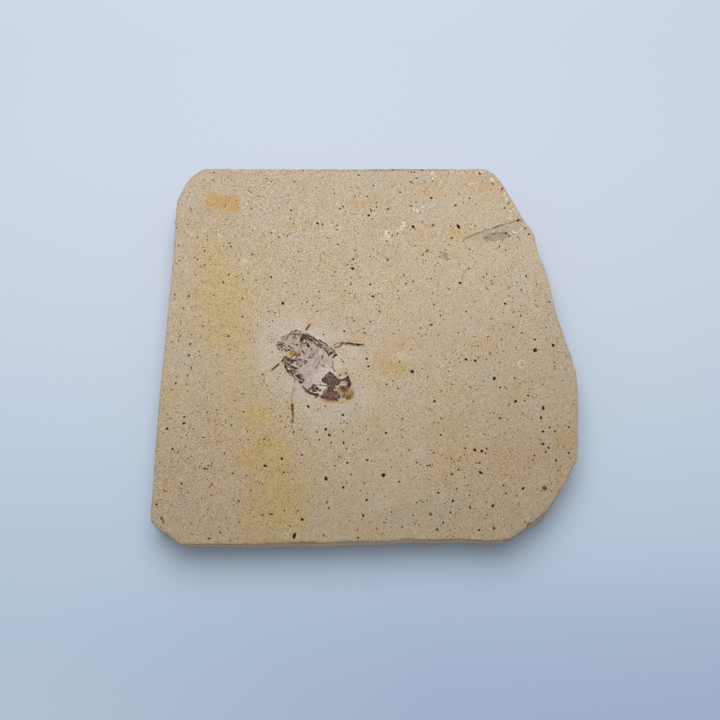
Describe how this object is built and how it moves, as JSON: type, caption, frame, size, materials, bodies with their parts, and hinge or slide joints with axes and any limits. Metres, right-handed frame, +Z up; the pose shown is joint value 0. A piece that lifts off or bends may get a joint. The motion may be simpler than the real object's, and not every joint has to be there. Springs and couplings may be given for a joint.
{
  "type": "fossil insect in a limestone slab",
  "caption": "Thin hand-sized plate of tan laminated limestone lying flat, with a flattened oval fossil insect in low relief on its upper bedding face.",
  "frame": {"origin": "centre of the footprint's bounding box, on the flat underside", "axes": "+Z up, normal to the bedding face that carries the insect; +X along the longer side of the plate, to the right when the insect's head points to the upper left; +Y away from the two cut lower corners"},
  "size_m": [0.1008, 0.0983, 0.0083],
  "materials": {
    "limestone": "dry, matt, fine-grained split bedding face with stains and dark mineral specks",
    "fossil_film": "thin smooth mineral film of the fossil, part pale, part dark purple-brown"
  },
  "bodies": {
    "root": {"fossil_slab": "limestone"}
  },
  "joints": []
}
